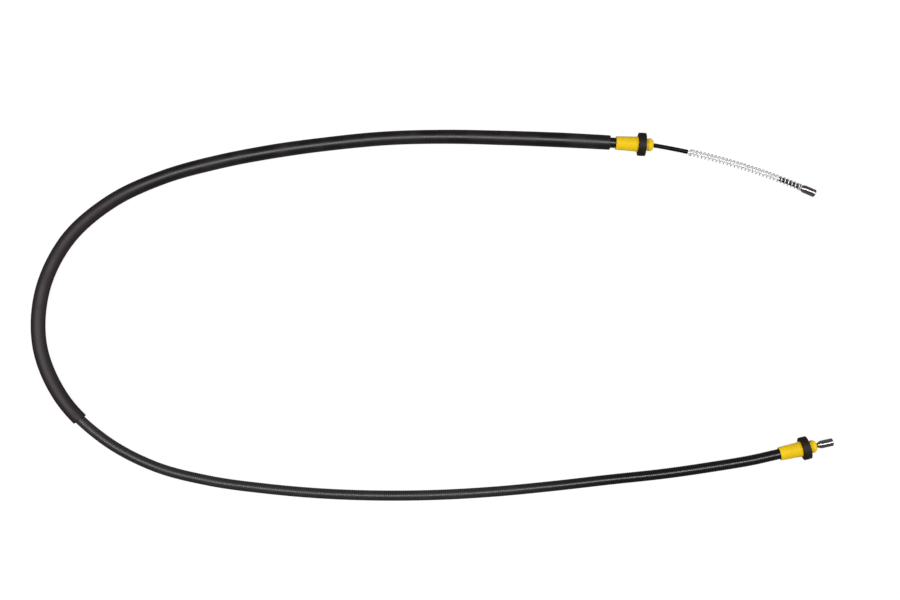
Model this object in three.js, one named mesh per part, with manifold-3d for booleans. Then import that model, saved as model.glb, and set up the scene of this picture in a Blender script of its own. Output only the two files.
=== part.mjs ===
// Parking brake cable, in millimetres. It lies on the plane z = 0 as a wide C that opens
// towards +X, with +Z up and the origin under the middle of the whole cable.
import * as THREE from "three";
import { mergeVertices } from "three/addons/utils/BufferGeometryUtils.js";
import Module from "manifold-3d";

const wasm = await Module();
wasm.setup();

// Radii and walls of what runs inside each other, from the rope outwards.
const ROPE_RADIUS = 1.1;
const LINER_ROOM = 0.4;
const LINER_WALL = 0.3;
const ARMOUR_ROOM = 0.45;
const ARMOUR_WALL = 0.75;
const JACKET_ROOM = 0.5;
const JACKET_WALL = 0.9;
const HOSE_ROOM = 0.6;
const HOSE_WALL = 1.1;

const LINER_BORE = ROPE_RADIUS + LINER_ROOM;
const LINER_RADIUS = LINER_BORE + LINER_WALL;
const ARMOUR_BORE = LINER_RADIUS + ARMOUR_ROOM;
const ARMOUR_RADIUS = ARMOUR_BORE + ARMOUR_WALL;
const JACKET_BORE = ARMOUR_RADIUS + JACKET_ROOM;
const JACKET_RADIUS = JACKET_BORE + JACKET_WALL;
const HOSE_BORE = JACKET_RADIUS + HOSE_ROOM;
const HOSE_RADIUS = HOSE_BORE + HOSE_WALL;

// Gap between pieces that seat on each other.
const SEAT_GAP = 0.3;

// Protective hose: how far from the upper fitting it starts, and its length.
const HOSE_START = 5;
const HOSE_LENGTH = 650;

// End fitting, from its tail face to the tip of its nose. Both ends carry the same moulding.
const BODY_LENGTH = 18.6;
const FRONT_WALL = 1.3;
const BODY_TAIL_RADIUS = 5.7;
const BODY_FRONT_RADIUS = 6.25;
const FLANGE_RADIUS = 6.65;
const FLANGE_WIDTH = 1.3;
const SEAL_SEAT_RADIUS = 4.9;
const PLATE_GROOVE_WIDTH = 2.2;
const SNAP_LIP_RADIUS = 5.35;
const SNAP_LIP_WIDTH = 2.6;
const TIP_LENGTH = 1.7;
const TIP_RADIUS = 3.5;
const MOUTH_RADIUS = 2.8;
const MOUTH_DEPTH = 9;
const SNAP_SLOT_WIDTH = 1.1;
const SNAP_SLOT_MARGIN = 0.7;
const SLOT_CUT_WIDTH = 3 * SNAP_LIP_RADIUS;
const MOULDED_EDGE = 0.5;
const TAIL_BORE_DEPTH = BODY_LENGTH - FRONT_WALL;
const FERRULE_ROOM = 6.3;
const JACKET_DEPTH = TAIL_BORE_DEPTH - FERRULE_ROOM;

// Seal ring on the fitting's seat.
const SEAL_RING_RADIUS = 9.8;
const SEAL_RING_WIDTH = 6.3;
const SEAL_RING_EDGE = 0.6;

// Crimp ferrule on the armour's end, inside the fitting.
const FERRULE_CAP = 0.8;

// Upper tail: the liner that stands out, the spring, the sleeve and the nipple, measured from
// the tip of the nose. The tail leaves the nose's axis by a short bend and then sweeps sideways
// on a wide arc while it sinks until its nipple lies on the floor.
const TAIL_LENGTH = 145;
const TAIL_BEND_ANGLE = THREE.MathUtils.degToRad(6.2);
const TAIL_BEND_RADIUS = 40;
const TAIL_SIDE_RADIUS = 610;
const LINER_STANDOUT = 29.8;
const LINER_END_STANDOUT = 1.1;
const CABLE_TRAVEL = 30;
const TAIL_REACH = 4;
const LOWER_TAIL_LEFT_INSIDE = 6;

// Return spring.
const SPRING_WIRE_RADIUS = 0.45;
const SPRING_ROOM = 0.3;
const SPRING_STANDOFF = 1.6;
const SPRING_TURNS = 32;
const SPRING_END_PITCH = 1.05;

// Sleeve on the rope inside the last turns of the spring.
const SLEEVE_LENGTH = 20;
const SLEEVE_ROOM = 0.35;
const SLEEVE_WALL = 0.35;

// Swaged nipples at the rope's ends.
const NIPPLE_RADIUS = 3.3;
const NIPPLE_BARREL = 10.4;
const NIPPLE_TAPER = 2.6;
const NIPPLE_TAPER_RADIUS = 2.1;
const NIPPLE_END_WALL = 1.6;
const NIPPLE_EDGE = 0.35;
const NIPPLE_LENGTH = NIPPLE_BARREL + NIPPLE_TAPER;

// Heights of the centreline above the floor: held up by a seal ring, in the hose, and bare.
const HELD = SEAL_RING_RADIUS;
const IN_HOSE = HOSE_RADIUS;
const BARE = JACKET_RADIUS;
const SINK_AT_FITTING = 1.4;
const SINK_BEFORE_FITTING = 2.4;
const LIFT_IN_HOSE = 0.3;
const LIFT_AT_HOSE = 0.2;
const LIFT_BEFORE_RISE = 0.3;
const LENGTH_SAMPLES = 2000;

// The conduit's centreline from the tail of the upper fitting, over the top and round the left
// bend, to the tail of the lower fitting. The first and last stretches set the fittings' axes.
const ROUTE = [
  [155.6, 144.9, HELD],
  [130.6, 146.3, HELD],
  [104, 147.8, HELD - SINK_AT_FITTING],
  [60, 149.6, IN_HOSE + LIFT_IN_HOSE],
  [12, 150.6, IN_HOSE],
  [-38, 149.3, IN_HOSE],
  [-86, 144.8, IN_HOSE],
  [-134, 138.3, IN_HOSE],
  [-181.9, 129.1, IN_HOSE],
  [-228.9, 116, IN_HOSE],
  [-272.8, 95.4, IN_HOSE],
  [-309.4, 63.5, IN_HOSE],
  [-330.9, 20.2, IN_HOSE],
  [-333.1, -27.9, IN_HOSE],
  [-314, -72.2, IN_HOSE],
  [-279.4, -106, IN_HOSE],
  [-236.7, -129.4, BARE + LIFT_AT_HOSE],
  [-189.5, -141.9, BARE],
  [-141.3, -148.6, BARE],
  [-92.7, -152.8, BARE],
  [-44, -154.5, BARE],
  [5, -153.9, BARE],
  [53.5, -151.1, BARE],
  [102, -146.5, BARE],
  [150.5, -141, BARE],
  [199, -135.7, BARE + LIFT_BEFORE_RISE],
  [240, -129.3, HELD - SINK_BEFORE_FITTING],
  [269.8, -123.9, HELD],
  [294.2, -118.4, HELD],
].map(([x, y, z]) => new THREE.Vector3(x, y, z));

const UP = new THREE.Vector3(0, 0, 1);

// Faces round each kind of section, and the spacing of the sections.
const HOSE_SIDES = 12;
const JACKET_SIDES = 10;
const INNER_SIDES = 8;
const WIRE_SIDES = 6;
const MOULDED_SIDES = 28;
const NIPPLE_SIDES = 20;
const CONDUIT_STEP = 22;
const TAIL_STEP = 12;
const BEND_STEPS = 3;
const STEPS_PER_TURN = 10;
const SHORTEST_STEP = 1;

// A circular arc in space, by the distance from its start.
class Arc {
  constructor(start, direction, normal, radius) {
    this.direction = direction.clone();
    this.normal = normal.clone();
    this.radius = radius;
    this.centre = start.clone().addScaledVector(normal, radius);
  }

  inwardAt(distance) {
    const turn = distance / this.radius;
    return this.normal
      .clone()
      .multiplyScalar(Math.cos(turn))
      .addScaledVector(this.direction, -Math.sin(turn));
  }

  pointAt(distance) {
    return this.centre.clone().addScaledVector(this.inwardAt(distance), -this.radius);
  }

  tangentAt(distance) {
    const turn = distance / this.radius;
    return this.direction
      .clone()
      .multiplyScalar(Math.cos(turn))
      .addScaledVector(this.normal, Math.sin(turn));
  }
}

// Axial places on a fitting, from its tail face.
const SEAL_SEAT_START = BODY_LENGTH;
const SEAL_SEAT_END = SEAL_SEAT_START + SEAT_GAP + SEAL_RING_WIDTH;
const LIP_START = SEAL_SEAT_END + PLATE_GROOVE_WIDTH;
const LIP_END = LIP_START + SNAP_LIP_WIDTH;
const FITTING_LENGTH = LIP_END + TIP_LENGTH;

// The conduit between the fittings' tail faces, and the axes of the fittings at its ends.
const conduit = new THREE.CatmullRomCurve3(ROUTE, false, "centripetal");
conduit.arcLengthDivisions = LENGTH_SAMPLES;
const conduitLength = conduit.getLength();
const upperTailFace = ROUTE.at(0);
const lowerTailFace = ROUTE.at(-1);
const upperAxis = upperTailFace.clone().sub(ROUTE.at(1)).normalize();
const lowerAxis = lowerTailFace.clone().sub(ROUTE.at(-2)).normalize();

// The short bend inside the upper nose, which ends in the middle of its mouth, and the arc on
// which the whole upper tail lies and slides.
const sideways = new THREE.Vector3().crossVectors(upperAxis, UP).normalize();
const bendAxialLength = TAIL_BEND_RADIUS * Math.sin(TAIL_BEND_ANGLE);
const bendLength = TAIL_BEND_RADIUS * TAIL_BEND_ANGLE;
const bendStart = upperTailFace
  .clone()
  .addScaledVector(upperAxis, FITTING_LENGTH - bendAxialLength);
const bend = new Arc(bendStart, upperAxis, sideways, TAIL_BEND_RADIUS);
const tailStart = bend.pointAt(bendLength);
const tailDirection = bend.tangentAt(bendLength);
const sinkCurvature = (2 * (HELD - NIPPLE_RADIUS)) / TAIL_LENGTH ** 2;
const tailCurvature = new THREE.Vector3()
  .crossVectors(tailDirection, UP)
  .multiplyScalar(1 / TAIL_SIDE_RADIUS)
  .addScaledVector(UP, -sinkCurvature);
const tailArc = new Arc(
  tailStart,
  tailDirection,
  tailCurvature.clone().normalize(),
  1 / tailCurvature.length(),
);

// Distances along the cable: 0 in the mouth of the upper nose, negative along the upper tail.
const conduitStart = bendLength + FITTING_LENGTH - bendAxialLength;
const conduitEnd = conduitStart + conduitLength;
const lowerMouth = conduitEnd + FITTING_LENGTH;

function pointAlong(along) {
  if (along < 0) return tailArc.pointAt(-along);
  if (along < bendLength) return bend.pointAt(bendLength - along);
  if (along < conduitStart)
    return upperTailFace.clone().addScaledVector(upperAxis, conduitStart - along);
  if (along <= conduitEnd) return conduit.getPointAt((along - conduitStart) / conduitLength);
  return lowerTailFace.clone().addScaledVector(lowerAxis, along - conduitEnd);
}

function tangentAlong(along) {
  if (along < 0) return tailArc.tangentAt(-along).negate();
  if (along < bendLength) return bend.tangentAt(bendLength - along).negate();
  if (along < conduitStart) return upperAxis.clone().negate();
  if (along <= conduitEnd) return conduit.getTangentAt((along - conduitStart) / conduitLength);
  return lowerAxis.clone();
}

function evenly(from, to, step) {
  const count = Math.max(1, Math.round((to - from) / step));
  return Array.from({ length: count }, (_, i) => from + ((to - from) * i) / count);
}

// Sections shared by everything that runs through the conduit, so that nested tubes bend alike.
const sharedStations = [
  ...evenly(-TAIL_LENGTH, 0, TAIL_STEP),
  ...evenly(0, bendLength, bendLength / BEND_STEPS),
  bendLength,
  ...evenly(conduitStart, conduitEnd, CONDUIT_STEP),
  conduitEnd,
];

// A stretch of the cable's centreline, with the shared sections and its own two ends.
class Stretch extends THREE.Curve {
  constructor(from, to) {
    super();
    const between = sharedStations.filter(
      (station) => station > from + SHORTEST_STEP && station < to - SHORTEST_STEP,
    );
    this.stations = [from, ...between, to];
  }

  get steps() {
    return this.stations.length - 1;
  }

  placeAt(u) {
    const place = Math.min(u * this.steps, this.steps);
    const index = Math.min(Math.floor(place), this.steps - 1);
    const share = place - index;
    return this.stations[index] * (1 - share) + this.stations[index + 1] * share;
  }

  getPointAt(u) {
    return pointAlong(this.placeAt(u));
  }

  getTangentAt(u) {
    return tangentAlong(this.placeAt(u));
  }
}

// The centreline of the spring's wire: a helix round the tail's arc, closed at both ends.
class SpringWire extends THREE.Curve {
  constructor(start, length, radius) {
    super();
    this.start = start;
    this.radius = radius;
    this.pitch = (length - 2 * SPRING_END_PITCH) / (SPRING_TURNS - 2);
    this.acrossArc = new THREE.Vector3().crossVectors(tailArc.direction, tailArc.normal);
  }

  advance(turn) {
    const middle = THREE.MathUtils.clamp(turn - 1, 0, SPRING_TURNS - 2);
    return SPRING_END_PITCH * (turn - middle) + this.pitch * middle;
  }

  getPoint(t) {
    const turn = t * SPRING_TURNS;
    const angle = turn * 2 * Math.PI;
    const place = this.start + this.advance(turn);
    return tailArc
      .pointAt(place)
      .addScaledVector(tailArc.inwardAt(place), this.radius * Math.cos(angle))
      .addScaledVector(this.acrossArc, this.radius * Math.sin(angle));
  }

  getPointAt(u) {
    return this.getPoint(u);
  }

  getTangentAt(u) {
    return this.getTangent(u);
  }
}

function ringOfPoints(radius, sides) {
  return Array.from({ length: sides }, (_, i) => {
    const angle = (i / sides) * 2 * Math.PI;
    return new THREE.Vector2(radius * Math.cos(angle), radius * Math.sin(angle));
  });
}

function swept(path, steps, radius, bore, sides) {
  const section = new THREE.Shape(ringOfPoints(radius, sides));
  if (bore > 0) section.holes.push(new THREE.Path(ringOfPoints(bore, sides)));
  return new THREE.ExtrudeGeometry(section, { steps, extrudePath: path });
}

function tube(from, to, radius, bore, sides) {
  const stretch = new Stretch(from, to);
  return swept(stretch, stretch.steps, radius, bore, sides);
}

// A turned solid on +Z from the corners of half its section, [radius, height], taken round
// anticlockwise and closed on itself.
function turned(corners, sides) {
  const outline = [...corners, corners[0]].map(([radius, height]) => new THREE.Vector2(radius, height));
  return new THREE.LatheGeometry(outline, sides).rotateX(Math.PI / 2);
}

function toSolid(geometry) {
  const bare = geometry.clone().deleteAttribute("normal").deleteAttribute("uv");
  const merged = mergeVertices(bare);
  return new wasm.Manifold(
    new wasm.Mesh({
      numProp: 3,
      vertProperties: merged.attributes.position.array,
      triVerts: new Uint32Array(merged.index.array),
    }),
  );
}

function cutFrom(geometry, tools) {
  const left = tools.reduce((body, tool) => body.subtract(toSolid(tool)), toSolid(geometry));
  const mesh = left.getMesh();
  const made = new THREE.BufferGeometry()
    .setAttribute("position", new THREE.BufferAttribute(mesh.vertProperties, 3))
    .setIndex(new THREE.BufferAttribute(mesh.triVerts, 1));
  made.computeVertexNormals();
  return made;
}

function endFitting() {
  const tailBore = JACKET_RADIUS + SEAT_GAP;
  const noseBore = LINER_RADIUS + SEAT_GAP;
  const body = turned(
    [
      [tailBore, 0],
      [BODY_TAIL_RADIUS - MOULDED_EDGE, 0],
      [BODY_TAIL_RADIUS, MOULDED_EDGE],
      [BODY_FRONT_RADIUS, BODY_LENGTH - FLANGE_WIDTH],
      [FLANGE_RADIUS, BODY_LENGTH - FLANGE_WIDTH],
      [FLANGE_RADIUS, SEAL_SEAT_START],
      [SEAL_SEAT_RADIUS, SEAL_SEAT_START],
      [SEAL_SEAT_RADIUS, LIP_START],
      [SNAP_LIP_RADIUS, LIP_START],
      [SNAP_LIP_RADIUS, LIP_END],
      [TIP_RADIUS, FITTING_LENGTH],
      [MOUTH_RADIUS, FITTING_LENGTH],
      [noseBore, FITTING_LENGTH - MOUTH_DEPTH],
      [noseBore, TAIL_BORE_DEPTH],
      [tailBore, TAIL_BORE_DEPTH],
    ],
    MOULDED_SIDES,
  );
  const slotStart = SEAL_SEAT_END + SNAP_SLOT_MARGIN;
  const slotLength = FITTING_LENGTH - slotStart + SNAP_SLOT_MARGIN;
  const slots = [Math.PI / 4, -Math.PI / 4].map((angle) =>
    new THREE.BoxGeometry(SLOT_CUT_WIDTH, SNAP_SLOT_WIDTH, slotLength)
      .translate(0, 0, slotStart + slotLength / 2)
      .rotateZ(angle),
  );
  return cutFrom(body, slots);
}

function sealRing() {
  const bore = SEAL_SEAT_RADIUS + SEAT_GAP;
  const start = SEAL_SEAT_START + SEAT_GAP;
  const end = start + SEAL_RING_WIDTH;
  return turned(
    [
      [bore, start],
      [SEAL_RING_RADIUS - SEAL_RING_EDGE, start],
      [SEAL_RING_RADIUS, start + SEAL_RING_EDGE],
      [SEAL_RING_RADIUS, end - SEAL_RING_EDGE],
      [SEAL_RING_RADIUS - SEAL_RING_EDGE, end],
      [bore, end],
    ],
    MOULDED_SIDES,
  );
}

const ferruleStart = JACKET_DEPTH + SEAT_GAP;
const ferruleEnd = TAIL_BORE_DEPTH - SEAT_GAP;
const armourDepth = ferruleEnd - FERRULE_CAP - SEAT_GAP;

function crimpFerrule() {
  const bore = ARMOUR_RADIUS + SEAT_GAP;
  const capBore = LINER_RADIUS + SEAT_GAP;
  return turned(
    [
      [bore, ferruleStart],
      [JACKET_RADIUS, ferruleStart],
      [JACKET_RADIUS, ferruleEnd],
      [capBore, ferruleEnd],
      [capBore, ferruleEnd - FERRULE_CAP],
      [bore, ferruleEnd - FERRULE_CAP],
    ],
    MOULDED_SIDES,
  );
}

// A nipple with the mouth of its blind bore at the origin and its end face up at NIPPLE_LENGTH.
function nipple() {
  const bore = ROPE_RADIUS + SEAT_GAP;
  return turned(
    [
      [0, NIPPLE_LENGTH - NIPPLE_END_WALL],
      [bore, NIPPLE_LENGTH - NIPPLE_END_WALL],
      [bore, 0],
      [NIPPLE_TAPER_RADIUS, 0],
      [NIPPLE_RADIUS, NIPPLE_TAPER],
      [NIPPLE_RADIUS, NIPPLE_LENGTH - NIPPLE_EDGE],
      [NIPPLE_RADIUS - NIPPLE_EDGE, NIPPLE_LENGTH],
      [0, NIPPLE_LENGTH],
    ],
    NIPPLE_SIDES,
  );
}

// Places along the tails.
const upperNippleStart = TAIL_LENGTH - NIPPLE_LENGTH;
const lowerNippleStart = lowerMouth + LINER_END_STANDOUT + SEAT_GAP;
const ropeEndInNipple = NIPPLE_LENGTH - NIPPLE_END_WALL - SEAT_GAP;
const springStart = LINER_STANDOUT + SPRING_STANDOFF + SPRING_WIRE_RADIUS;
const springEnd = upperNippleStart - SEAT_GAP - SPRING_WIRE_RADIUS;
const springRadius = LINER_RADIUS + SPRING_ROOM + SPRING_WIRE_RADIUS;
const lowerTailDepth = CABLE_TRAVEL + LOWER_TAIL_LEFT_INSIDE;

function returnSpring() {
  const wire = new SpringWire(springStart, springEnd - springStart, springRadius);
  return swept(wire, SPRING_TURNS * STEPS_PER_TURN, SPRING_WIRE_RADIUS, 0, WIRE_SIDES);
}

const cable = new THREE.Group();

function finish(color, roughness, metalness) {
  return new THREE.MeshStandardMaterial({ color, roughness, metalness });
}

function add(parent, name, geometry, material) {
  const mesh = new THREE.Mesh(geometry, material);
  mesh.name = name;
  parent.add(mesh);
}

// A group whose +Z runs along the given axis.
function groupAt(point, axis) {
  const group = new THREE.Group();
  group.position.copy(point);
  group.quaternion.setFromUnitVectors(UP, axis);
  cable.add(group);
  return group;
}

function addConduit() {
  add(
    cable,
    "protective_hose",
    tube(
      conduitStart + HOSE_START,
      conduitStart + HOSE_START + HOSE_LENGTH,
      HOSE_RADIUS,
      HOSE_BORE,
      HOSE_SIDES,
    ),
    finish(0x211c1c, 0.45, 0),
  );
  add(
    cable,
    "conduit_jacket",
    tube(
      conduitStart - JACKET_DEPTH,
      conduitEnd + JACKET_DEPTH,
      JACKET_RADIUS,
      JACKET_BORE,
      JACKET_SIDES,
    ),
    finish(0x282426, 0.4, 0),
  );
  add(
    cable,
    "conduit_armour",
    tube(
      conduitStart - armourDepth,
      conduitEnd + armourDepth,
      ARMOUR_RADIUS,
      ARMOUR_BORE,
      INNER_SIDES,
    ),
    finish(0x8c9093, 0.4, 1),
  );
  add(
    cable,
    "inner_liner",
    tube(-LINER_STANDOUT, lowerMouth + LINER_END_STANDOUT, LINER_RADIUS, LINER_BORE, INNER_SIDES),
    finish(0x0d0c0d, 0.2, 0),
  );
}

function addRope() {
  const steel = () => finish(0xb9bcbe, 0.35, 1);
  add(
    cable,
    "rope_middle",
    tube(TAIL_REACH + SEAT_GAP, lowerMouth - lowerTailDepth - SEAT_GAP, ROPE_RADIUS, 0, INNER_SIDES),
    steel(),
  );
  add(
    cable,
    "rope_upper_tail",
    tube(-upperNippleStart - ropeEndInNipple, TAIL_REACH - CABLE_TRAVEL, ROPE_RADIUS, 0, INNER_SIDES),
    steel(),
  );
  const lowerTail = groupAt(pointAlong(lowerMouth), lowerAxis);
  const length = lowerTailDepth + lowerNippleStart - lowerMouth + ropeEndInNipple;
  const straight = new THREE.CylinderGeometry(ROPE_RADIUS, ROPE_RADIUS, length, INNER_SIDES)
    .rotateX(Math.PI / 2)
    .translate(0, 0, length / 2 - lowerTailDepth);
  add(lowerTail, "rope_lower_tail", straight, steel());
}

function addEnd(prefix, tailFace, axis) {
  const end = groupAt(tailFace, axis);
  add(end, `${prefix}_end_fitting`, endFitting(), finish(0xf0c01c, 0.4, 0));
  add(end, `${prefix}_seal_ring`, sealRing(), finish(0x1c191a, 0.75, 0));
  add(end, `${prefix}_crimp_ferrule`, crimpFerrule(), finish(0x9a9d9f, 0.35, 1));
}

function addNipple(name, start, axis) {
  add(groupAt(start, axis), name, nipple(), finish(0x8f8c8a, 0.3, 1));
}

function addUpperTail() {
  add(cable, "return_spring", returnSpring(), finish(0xd2d4d6, 0.25, 1));
  add(
    cable,
    "spring_sleeve",
    tube(
      -upperNippleStart + SEAT_GAP,
      -upperNippleStart + SEAT_GAP + SLEEVE_LENGTH,
      ROPE_RADIUS + SLEEVE_ROOM + SLEEVE_WALL,
      ROPE_RADIUS + SLEEVE_ROOM,
      INNER_SIDES,
    ),
    finish(0x121112, 0.5, 0),
  );
  const axis = tailArc.tangentAt(TAIL_LENGTH - NIPPLE_LENGTH / 2);
  addNipple("upper_nipple", tailArc.pointAt(upperNippleStart), axis);
}

addConduit();
addRope();
addEnd("upper", upperTailFace, upperAxis);
addEnd("lower", lowerTailFace, lowerAxis);
addUpperTail();
addNipple("lower_nipple", pointAlong(lowerNippleStart), lowerAxis);

export default cable;
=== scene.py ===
import math

import bmesh
import bpy
import numpy as np
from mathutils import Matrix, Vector


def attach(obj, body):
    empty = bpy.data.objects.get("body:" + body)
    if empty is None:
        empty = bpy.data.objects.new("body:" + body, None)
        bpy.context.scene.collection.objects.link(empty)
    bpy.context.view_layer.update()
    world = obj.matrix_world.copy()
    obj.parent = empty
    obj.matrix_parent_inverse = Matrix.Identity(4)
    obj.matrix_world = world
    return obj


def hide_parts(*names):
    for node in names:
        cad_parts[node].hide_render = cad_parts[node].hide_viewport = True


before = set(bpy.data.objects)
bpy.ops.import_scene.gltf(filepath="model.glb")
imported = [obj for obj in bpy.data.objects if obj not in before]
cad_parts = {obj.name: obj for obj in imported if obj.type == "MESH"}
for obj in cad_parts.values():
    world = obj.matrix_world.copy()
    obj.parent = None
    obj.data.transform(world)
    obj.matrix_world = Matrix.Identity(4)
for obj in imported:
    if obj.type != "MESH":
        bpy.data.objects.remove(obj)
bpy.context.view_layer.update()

MM = 0.001

# Sizes that the pieces share with the solids they stand for, in metres.
ROPE_RADIUS = 1.1 * MM
LINER_BORE = 1.5 * MM
LINER_RADIUS = 1.8 * MM
JACKET_BORE = 3.5 * MM
JACKET_RADIUS = 4.4 * MM
HOSE_BORE = 5.0 * MM
HOSE_RADIUS = 6.1 * MM
SEAT_GAP = 0.3 * MM

HOSE_START = 5 * MM
HOSE_LENGTH = 650 * MM
JACKET_DEPTH = 11 * MM
FITTING_LENGTH = 31.7 * MM
TAIL_BEND_ANGLE = math.radians(6.2)
TAIL_BEND_RADIUS = 40 * MM
TAIL_SIDE_RADIUS = 610 * MM
TAIL_LENGTH = 145 * MM
LINER_STANDOUT = 29.8 * MM
LINER_END_STANDOUT = 1.1 * MM
CABLE_TRAVEL = 30 * MM
TAIL_REACH = 4 * MM
LOWER_TAIL_DEPTH = 36 * MM
NIPPLE_RADIUS = 3.3 * MM
NIPPLE_LENGTH = 13 * MM
NIPPLE_TAPER = 2.6 * MM
NIPPLE_TAPER_RADIUS = 2.1 * MM
NIPPLE_BORE = 1.4 * MM
ROPE_END_IN_NIPPLE = 11.1 * MM
SPRING_WIRE_RADIUS = 0.45 * MM
SPRING_RADIUS = 2.55 * MM
SPRING_STANDOFF = 1.6 * MM
SPRING_START = LINER_STANDOUT + SPRING_STANDOFF + SPRING_WIRE_RADIUS
SPRING_END = TAIL_LENGTH - NIPPLE_LENGTH - SEAT_GAP - SPRING_WIRE_RADIUS
SPRING_TURNS = 32
SPRING_END_PITCH = 1.05 * MM
SLEEVE_LENGTH = 20 * MM
SLEEVE_BORE = 1.45 * MM
SLEEVE_RADIUS = 1.8 * MM

# Heights of the cable's centre over the floor: where the seal rings hold it up, where it lies
# in the hose, where it lies bare, and how it sinks or lifts between them.
HELD = 9.8 * MM
IN_HOSE = HOSE_RADIUS
BARE = JACKET_RADIUS
SINK_AT_FITTING = 1.4 * MM
SINK_BEFORE_FITTING = 2.4 * MM
LIFT_IN_HOSE = 0.3 * MM
LIFT_AT_HOSE = 0.2 * MM
LIFT_BEFORE_RISE = 0.3 * MM

# The conduit's centreline from the tail of the upper fitting to the tail of the lower one.
ROUTE = np.array(
    [
        [0.1556, 0.1449, HELD],
        [0.1306, 0.1463, HELD],
        [0.104, 0.1478, HELD - SINK_AT_FITTING],
        [0.06, 0.1496, IN_HOSE + LIFT_IN_HOSE],
        [0.012, 0.1506, IN_HOSE],
        [-0.038, 0.1493, IN_HOSE],
        [-0.086, 0.1448, IN_HOSE],
        [-0.134, 0.1383, IN_HOSE],
        [-0.1819, 0.1291, IN_HOSE],
        [-0.2289, 0.116, IN_HOSE],
        [-0.2728, 0.0954, IN_HOSE],
        [-0.3094, 0.0635, IN_HOSE],
        [-0.3309, 0.0202, IN_HOSE],
        [-0.3331, -0.0279, IN_HOSE],
        [-0.314, -0.0722, IN_HOSE],
        [-0.2794, -0.106, IN_HOSE],
        [-0.2367, -0.1294, BARE + LIFT_AT_HOSE],
        [-0.1895, -0.1419, BARE],
        [-0.1413, -0.1486, BARE],
        [-0.0927, -0.1528, BARE],
        [-0.044, -0.1545, BARE],
        [0.005, -0.1539, BARE],
        [0.0535, -0.1511, BARE],
        [0.102, -0.1465, BARE],
        [0.1505, -0.141, BARE],
        [0.199, -0.1357, BARE + LIFT_BEFORE_RISE],
        [0.24, -0.1293, HELD - SINK_BEFORE_FITTING],
        [0.2698, -0.1239, HELD],
        [0.2942, -0.1184, HELD],
    ]
)
UP = np.array([0.0, 0.0, 1.0])

# Camera
SENSOR_WIDTH = 36
LENS = 49.62
CAMERA_PLACE = (0.0153, 0.0119, 1.060)
NEAREST_SEEN = 0.01


def look_from_above():
    camera = bpy.data.cameras.new("view")
    camera.sensor_width = SENSOR_WIDTH
    camera.lens = LENS
    camera.clip_start = NEAREST_SEEN
    holder = bpy.data.objects.new("view", camera)
    holder.location = CAMERA_PLACE
    bpy.context.scene.collection.objects.link(holder)
    bpy.context.scene.camera = holder


look_from_above()


# The cable's line
def unit(v):
    return v / np.linalg.norm(v)


class Arc:
    """A circular arc in space, by the distance from its start."""

    def __init__(self, start, direction, normal, radius):
        self.direction, self.normal, self.radius = direction, normal, radius
        self.centre = start + normal * radius

    def inward(self, distance):
        turn = distance / self.radius
        return self.normal * math.cos(turn) - self.direction * math.sin(turn)

    def point(self, distance):
        return self.centre - self.inward(distance) * self.radius

    def tangent(self, distance):
        turn = distance / self.radius
        return self.direction * math.cos(turn) + self.normal * math.sin(turn)


def smooth_route(points, samples=64):
    """Centripetal curve through the points, as close samples."""
    padded = np.vstack([2 * points[0] - points[1], points, 2 * points[-1] - points[-2]])
    line = []
    for i in range(len(points) - 1):
        p0, p1, p2, p3 = padded[i : i + 4]
        d0, d1, d2 = (math.sqrt(np.linalg.norm(b - a)) for a, b in ((p0, p1), (p1, p2), (p2, p3)))
        t1 = ((p1 - p0) / d0 - (p2 - p0) / (d0 + d1) + (p2 - p1) / d1) * d1
        t2 = ((p2 - p1) / d1 - (p3 - p1) / (d1 + d2) + (p3 - p2) / d2) * d1
        for k in range(samples):
            t = k / samples
            bent = (-3 * p1 + 3 * p2 - 2 * t1 - t2) * t * t + (2 * p1 - 2 * p2 + t1 + t2) * t**3
            line.append(p1 + t1 * t + bent)
    return np.array([*line, points[-1]])


route_line = smooth_route(ROUTE)
route_distance = np.concatenate(
    [[0], np.cumsum(np.linalg.norm(np.diff(route_line, axis=0), axis=1))]
)
route_slope = np.gradient(route_line, route_distance, axis=0)
conduit_length = route_distance[-1]
upper_face, lower_face = ROUTE[0], ROUTE[-1]
upper_axis, lower_axis = unit(ROUTE[0] - ROUTE[1]), unit(ROUTE[-1] - ROUTE[-2])

bend_axial = TAIL_BEND_RADIUS * math.sin(TAIL_BEND_ANGLE)
bend_length = TAIL_BEND_RADIUS * TAIL_BEND_ANGLE
bend = Arc(
    upper_face + upper_axis * (FITTING_LENGTH - bend_axial),
    upper_axis,
    unit(np.cross(upper_axis, UP)),
    TAIL_BEND_RADIUS,
)
tail_direction = bend.tangent(bend_length)
tail_curvature = np.cross(tail_direction, UP) / TAIL_SIDE_RADIUS - UP * (
    2 * (HELD - NIPPLE_RADIUS) / TAIL_LENGTH**2
)
tail = Arc(
    bend.point(bend_length),
    tail_direction,
    unit(tail_curvature),
    1 / np.linalg.norm(tail_curvature),
)
conduit_start = bend_length + FITTING_LENGTH - bend_axial
conduit_end = conduit_start + conduit_length
lower_mouth = conduit_end + FITTING_LENGTH
upper_nipple_start = TAIL_LENGTH - NIPPLE_LENGTH
lower_nipple_start = lower_mouth + LINER_END_STANDOUT + SEAT_GAP


def cable_at(s):
    """Point and direction of the cable at a distance from the mouth of the upper nose."""
    if s < 0:
        return tail.point(-s), -tail.tangent(-s)
    if s < bend_length:
        return bend.point(bend_length - s), -bend.tangent(bend_length - s)
    if s < conduit_start:
        return upper_face + upper_axis * (conduit_start - s), -upper_axis
    if s <= conduit_end:
        d = s - conduit_start
        point = np.array([np.interp(d, route_distance, route_line[:, k]) for k in range(3)])
        slope = np.array([np.interp(d, route_distance, route_slope[:, k]) for k in range(3)])
        return point, unit(slope)
    return lower_face + lower_axis * (s - conduit_end), lower_axis


def straight(start, axis):
    return lambda s: (start + axis * s, axis)


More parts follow.
